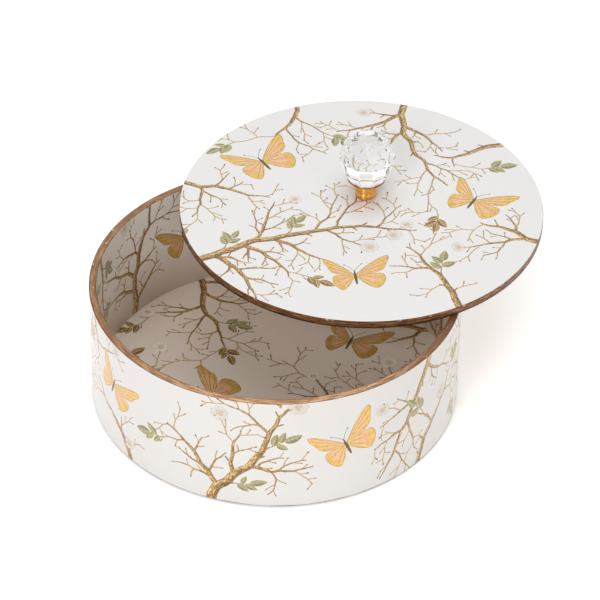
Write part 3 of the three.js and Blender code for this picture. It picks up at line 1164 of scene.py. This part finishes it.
def gold_collar():
    """The gold collar: a rounded foot, a groove, a neck, and a flare out to the lip of a shallow cup."""
    low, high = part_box("knob_collar")
    cup = width_of("knob_collar") / 2
    foot = low.z + FOOT_HEIGHT
    neck = foot + GROOVE_WIDTH
    flare = neck + NECK_HEIGHT
    lip = high.z - LIP_HEIGHT
    seat = high.z - SEAT_DEPTH
    soft = LIP_ROUND
    bead = FOOT_BEAD
    groove = FOOT_RADIUS - GROOVE_DEPTH
    profile = [(0, low.z + BORE_DEPTH), (BORE_RADIUS, low.z + BORE_DEPTH), (BORE_RADIUS, low.z)]
    profile += quarter((FOOT_RADIUS - bead, low.z), (FOOT_RADIUS, low.z), (FOOT_RADIUS, low.z + bead), 10)
    profile += quarter((FOOT_RADIUS, foot - bead), (FOOT_RADIUS, foot), (groove, foot), 10)
    profile += [(groove, neck)]
    profile += quarter((NECK_RADIUS - soft, neck), (NECK_RADIUS, neck), (NECK_RADIUS, neck + soft))
    profile += quarter((NECK_RADIUS, flare), (NECK_RADIUS, lip), (cup - soft, lip), 14)
    profile += quarter((cup - soft, lip), (cup, lip), (cup, lip + soft))[1:]
    profile += quarter((cup, high.z - soft), (cup, high.z), (cup - soft, high.z))
    profile += [(cup - LIP_WALL, high.z), (cup - LIP_WALL, seat), (0, seat)]
    mesh = turned_mesh("gold_collar", profile, GOLD, KNOB_STEPS)
    place_piece("gold_collar", mesh, KNOB_AXIS, "lid", ["knob_collar"])


def better_material(node, material):
    """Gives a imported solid, which stays as it is, a better material."""
    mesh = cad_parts[node].data
    mesh.materials.clear()
    mesh.materials.append(material)


# Layout of each sheet's print, in millimetres: limbs may run a little past the sheet's border

DISC_REACH = 122
WALL_REACH = (-3, 91)


def on_disc(x, y):
    return math.hypot(x, y) < DISC_REACH


def on_wall(x, y):
    return WALL_REACH[0] < y < WALL_REACH[1]


# Twigs under the knob, and behind it as it is seen, end in buds alone: (x, y, radius)
KNOB_SPOT = [(KNOB_X, KNOB_Y, 34), (KNOB_X, KNOB_Y + 36, 34)]
LID_FLIES = [(-66, 46, 34, 27), (74, 8, -28, 25), (-4, -74, 8, 24)]
LID_LIMBS = [
    (-104, -60, 30, 150, 6.2), (118, -36, 150, 70, 5.2), (30, 117, -112, 100, 5.2), (-118, 22, -28, 60, 3.8),
    (96, 72, -165, 80, 4.8), (62, -103, 108, 70, 5.0), (-44, 111, -100, 50, 3.6),
]
FLOOR_FLIES = [(-40, -20, 70, 26), (50, 40, -20, 25)]
FLOOR_LIMBS = [
    (-118, 20, -30, 110, 6.0), (64, -102, 115, 110, 6.4), (-22, -119, 70, 80, 5.0), (108, 54, 175, 90, 5.0),
    (-54, 107, -75, 80, 5.0), (117, -31, 160, 60, 4.4),
]
UNDER_LIMBS = [
    (104, -60, 150, 150, 6.0), (-118, -30, 20, 80, 5.2), (-30, 117, -70, 100, 5.2), (118, 30, 200, 70, 4.2),
    (-93, 79, -30, 80, 4.8), (-41, -115, 70, 80, 5.0),
]
OUTER_FLIES = [(404, 46, 24, 25), (236, 52, -20, 23), (590, 44, 16, 24), (70, 46, -30, 24)]
OUTER_LIMBS = [
    (318, 0, 78, 110, 7.0), (470, 88, -115, 90, 5.0), (462, 0, 70, 70, 4.6), (360, 88, -62, 60, 4.0),
    (254, 0, 110, 60, 4.4), (206, 88, -70, 70, 4.6), (160, 0, 80, 100, 6.2), (120, 88, -110, 60, 4.2),
    (40, 0, 64, 60, 4.6), (10, 88, -60, 70, 4.4), (530, 0, 96, 100, 6.2), (640, 88, -100, 80, 5.0),
    (646, 0, 84, 60, 4.6), (720, 0, 100, 100, 6.0), (570, 88, -80, 50, 3.6),
]
INNER_FLIES = [(636, 46, 20, 24), (180, 44, -20, 24), (420, 46, 10, 24)]
INNER_LIMBS = [
    (590, 0, 75, 100, 6.4), (700, 0, 100, 100, 6.4), (650, 88, -100, 60, 4.4), (540, 88, -80, 70, 4.8),
    (490, 0, 100, 80, 5.2), (380, 0, 80, 100, 6.0), (330, 88, -110, 70, 4.6), (260, 0, 95, 100, 6.2),
    (220, 88, -70, 60, 4.4), (120, 0, 80, 100, 6.0), (60, 88, -100, 70, 4.8), (20, 0, 85, 60, 4.4),
]
lid_shapes = printed(31, on_disc, LID_LIMBS, LID_FLIES, KNOB_SPOT)
under_shapes = printed(12, on_disc, UNDER_LIMBS, [])
floor_shapes = printed(13, on_disc, FLOOR_LIMBS, FLOOR_FLIES)
outer_shapes = printed(41, on_wall, OUTER_LIMBS, OUTER_FLIES)
inner_shapes = printed(22, on_wall, INNER_LIMBS, INNER_FLIES)

disc_sheet("lid_top_sheet", "lid_top_print", "lid", LID_SHEET_RADIUS, "ground", lid_shapes, 1, BORE_RADIUS)
disc_sheet("lid_under_sheet", "lid_under_print", "lid", UNDER_SHEET_RADIUS, "ground", under_shapes, -1,
           COUNTERBORE_RADIUS)
disc_sheet("floor_sheet", "floor_print", "box", FLOOR_SHEET_RADIUS, "shaded_floor_ground", floor_shapes, 1)
wrap_sheet("outer_wrap", "outer_print", WRAP_RADIUS, 1, OUTER_SEAM, "ground", outer_shapes)
wrap_sheet("inner_liner", "inner_print", LINER_RADIUS, -1, INNER_SEAM, "shaded_inner_ground", inner_shapes)
wall_hoop()
lid_disc()
gold_collar()
felt_pad()
better_material("box_floor", BOARD)
better_material("knob_screw", STEEL)
better_material("knob_washer", STEEL)
better_material("knob_crystal", CRYSTAL)


# Stage, camera and light

WHITE = (1, 1, 1)
WARM = (1, 0.84, 0.68)
# Soft boxes: name, place, width, power and colour
LAMPS = (
    ("key", (-0.72, -1.69, 1.38), 0.7, 15, WHITE),
    ("right", (1.4, -1.8, 0.95), 1.4, 4.3, WARM),
    ("top", (0.1, 0.0, 2.4), 2.2, 20.5, WHITE),
)
LAMP_AIM = Vector((0, 0, 0.05))
WORLD_FILL = 0.44
FLOOR_HALF = 6.0
FLOOR_TINT = (0.90, 0.88, 0.86, 1)
GLOW_TINT = (1, 0.975, 0.95, 1)
GLOW = 0.42


def seen_rays(tree):
    """1 for what is seen, straight, mirrored or through the crystal, and 0 for light on its way."""
    path = tree.nodes.new("ShaderNodeLightPath")
    seen = path.outputs["Is Camera Ray"]
    for ray in ("Is Glossy Ray", "Is Transmission Ray"):
        seen = worked_out(tree, "MAXIMUM", seen, path.outputs[ray])
    return seen


def stage_floor():
    """A white sweep under the object, lifted a little by a glow of its own where it is seen."""
    corners = [(x * FLOOR_HALF, y * FLOOR_HALF, 0) for x, y in ((-1, -1), (1, -1), (1, 1), (-1, 1))]
    mesh = bpy.data.meshes.new("stage_floor")
    mesh.from_pydata(corners, [], [(0, 1, 2, 3)])
    floor = bpy.data.objects.new("stage_floor", mesh)
    bpy.context.scene.collection.objects.link(floor)
    material, tree, shader = new_material("white_sweep")
    set_values(shader, {"Base Color": FLOOR_TINT, "Roughness": 0.9})
    glow = tree.nodes.new("ShaderNodeEmission")
    glow.inputs["Color"].default_value = GLOW_TINT
    link(tree, worked_out(tree, "MULTIPLY", seen_rays(tree), GLOW), glow.inputs["Strength"])
    both = tree.nodes.new("ShaderNodeAddShader")
    link(tree, shader.outputs[0], both.inputs[0])
    link(tree, glow.outputs[0], both.inputs[1])
    link(tree, both.outputs[0], tree.nodes["Material Output"].inputs["Surface"])
    mesh.materials.append(material)


def studio_world():
    """White all round where it is seen, and a fainter, even fill of light."""
    world = bpy.data.worlds.new("studio")
    bpy.context.scene.world = world
    world.use_nodes = True
    tree = world.node_tree
    background = tree.nodes["Background"]
    background.inputs["Color"].default_value = (*WHITE, 1)
    level = span(tree, seen_rays(tree), 0.0, 1.0, 1.0, WORLD_FILL)
    link(tree, level, background.inputs["Strength"])


def soft_box(name, place, width, power, colour):
    """A round soft box that looks at the foot of the object."""
    light = bpy.data.lights.new(name, "AREA")
    light.shape = "DISK"
    light.size = width
    light.energy = power
    light.color = colour
    lamp = bpy.data.objects.new(name, light)
    lamp.location = place
    lamp.visible_transmission = False
    lamp.rotation_euler = (LAMP_AIM - Vector(place)).to_track_quat("-Z", "Y").to_euler()
    bpy.context.scene.collection.objects.link(lamp)


def photo_camera():
    """The photograph's camera: its height and turn, its slight roll, and its distance."""
    rise = 0.682
    roll = 0.022
    distance = 1.96716
    target = Vector((0.0157, 0, 0.0715))
    focal_pixels = 3048.3
    frame_pixels = 600
    sensor_width = 36
    ahead = Vector((0, math.cos(rise), -math.sin(rise)))
    level = Vector((1, 0, 0))
    over = level.cross(ahead)
    right = level * math.cos(roll) + over * math.sin(roll)
    up = over * math.cos(roll) - level * math.sin(roll)
    eye = target - ahead * distance
    camera = bpy.data.cameras.new("photo_camera")
    camera.sensor_width = sensor_width
    camera.lens = focal_pixels * sensor_width / frame_pixels
    camera.clip_end = 50
    holder = bpy.data.objects.new("photo_camera", camera)
    holder.matrix_world = Matrix((
        (right.x, up.x, -ahead.x, eye.x), (right.y, up.y, -ahead.y, eye.y),
        (right.z, up.z, -ahead.z, eye.z), (0, 0, 0, 1)))
    bpy.context.scene.collection.objects.link(holder)
    bpy.context.scene.camera = holder


stage_floor()
studio_world()
for lamp in LAMPS:
    soft_box(*lamp)
photo_camera()
bpy.context.scene.view_settings.view_transform = "Standard"
# Light goes to and fro between the crystal's facets more often than it does elsewhere
bpy.context.scene.cycles.glossy_bounces = 12
bpy.context.scene.cycles.max_bounces = 16
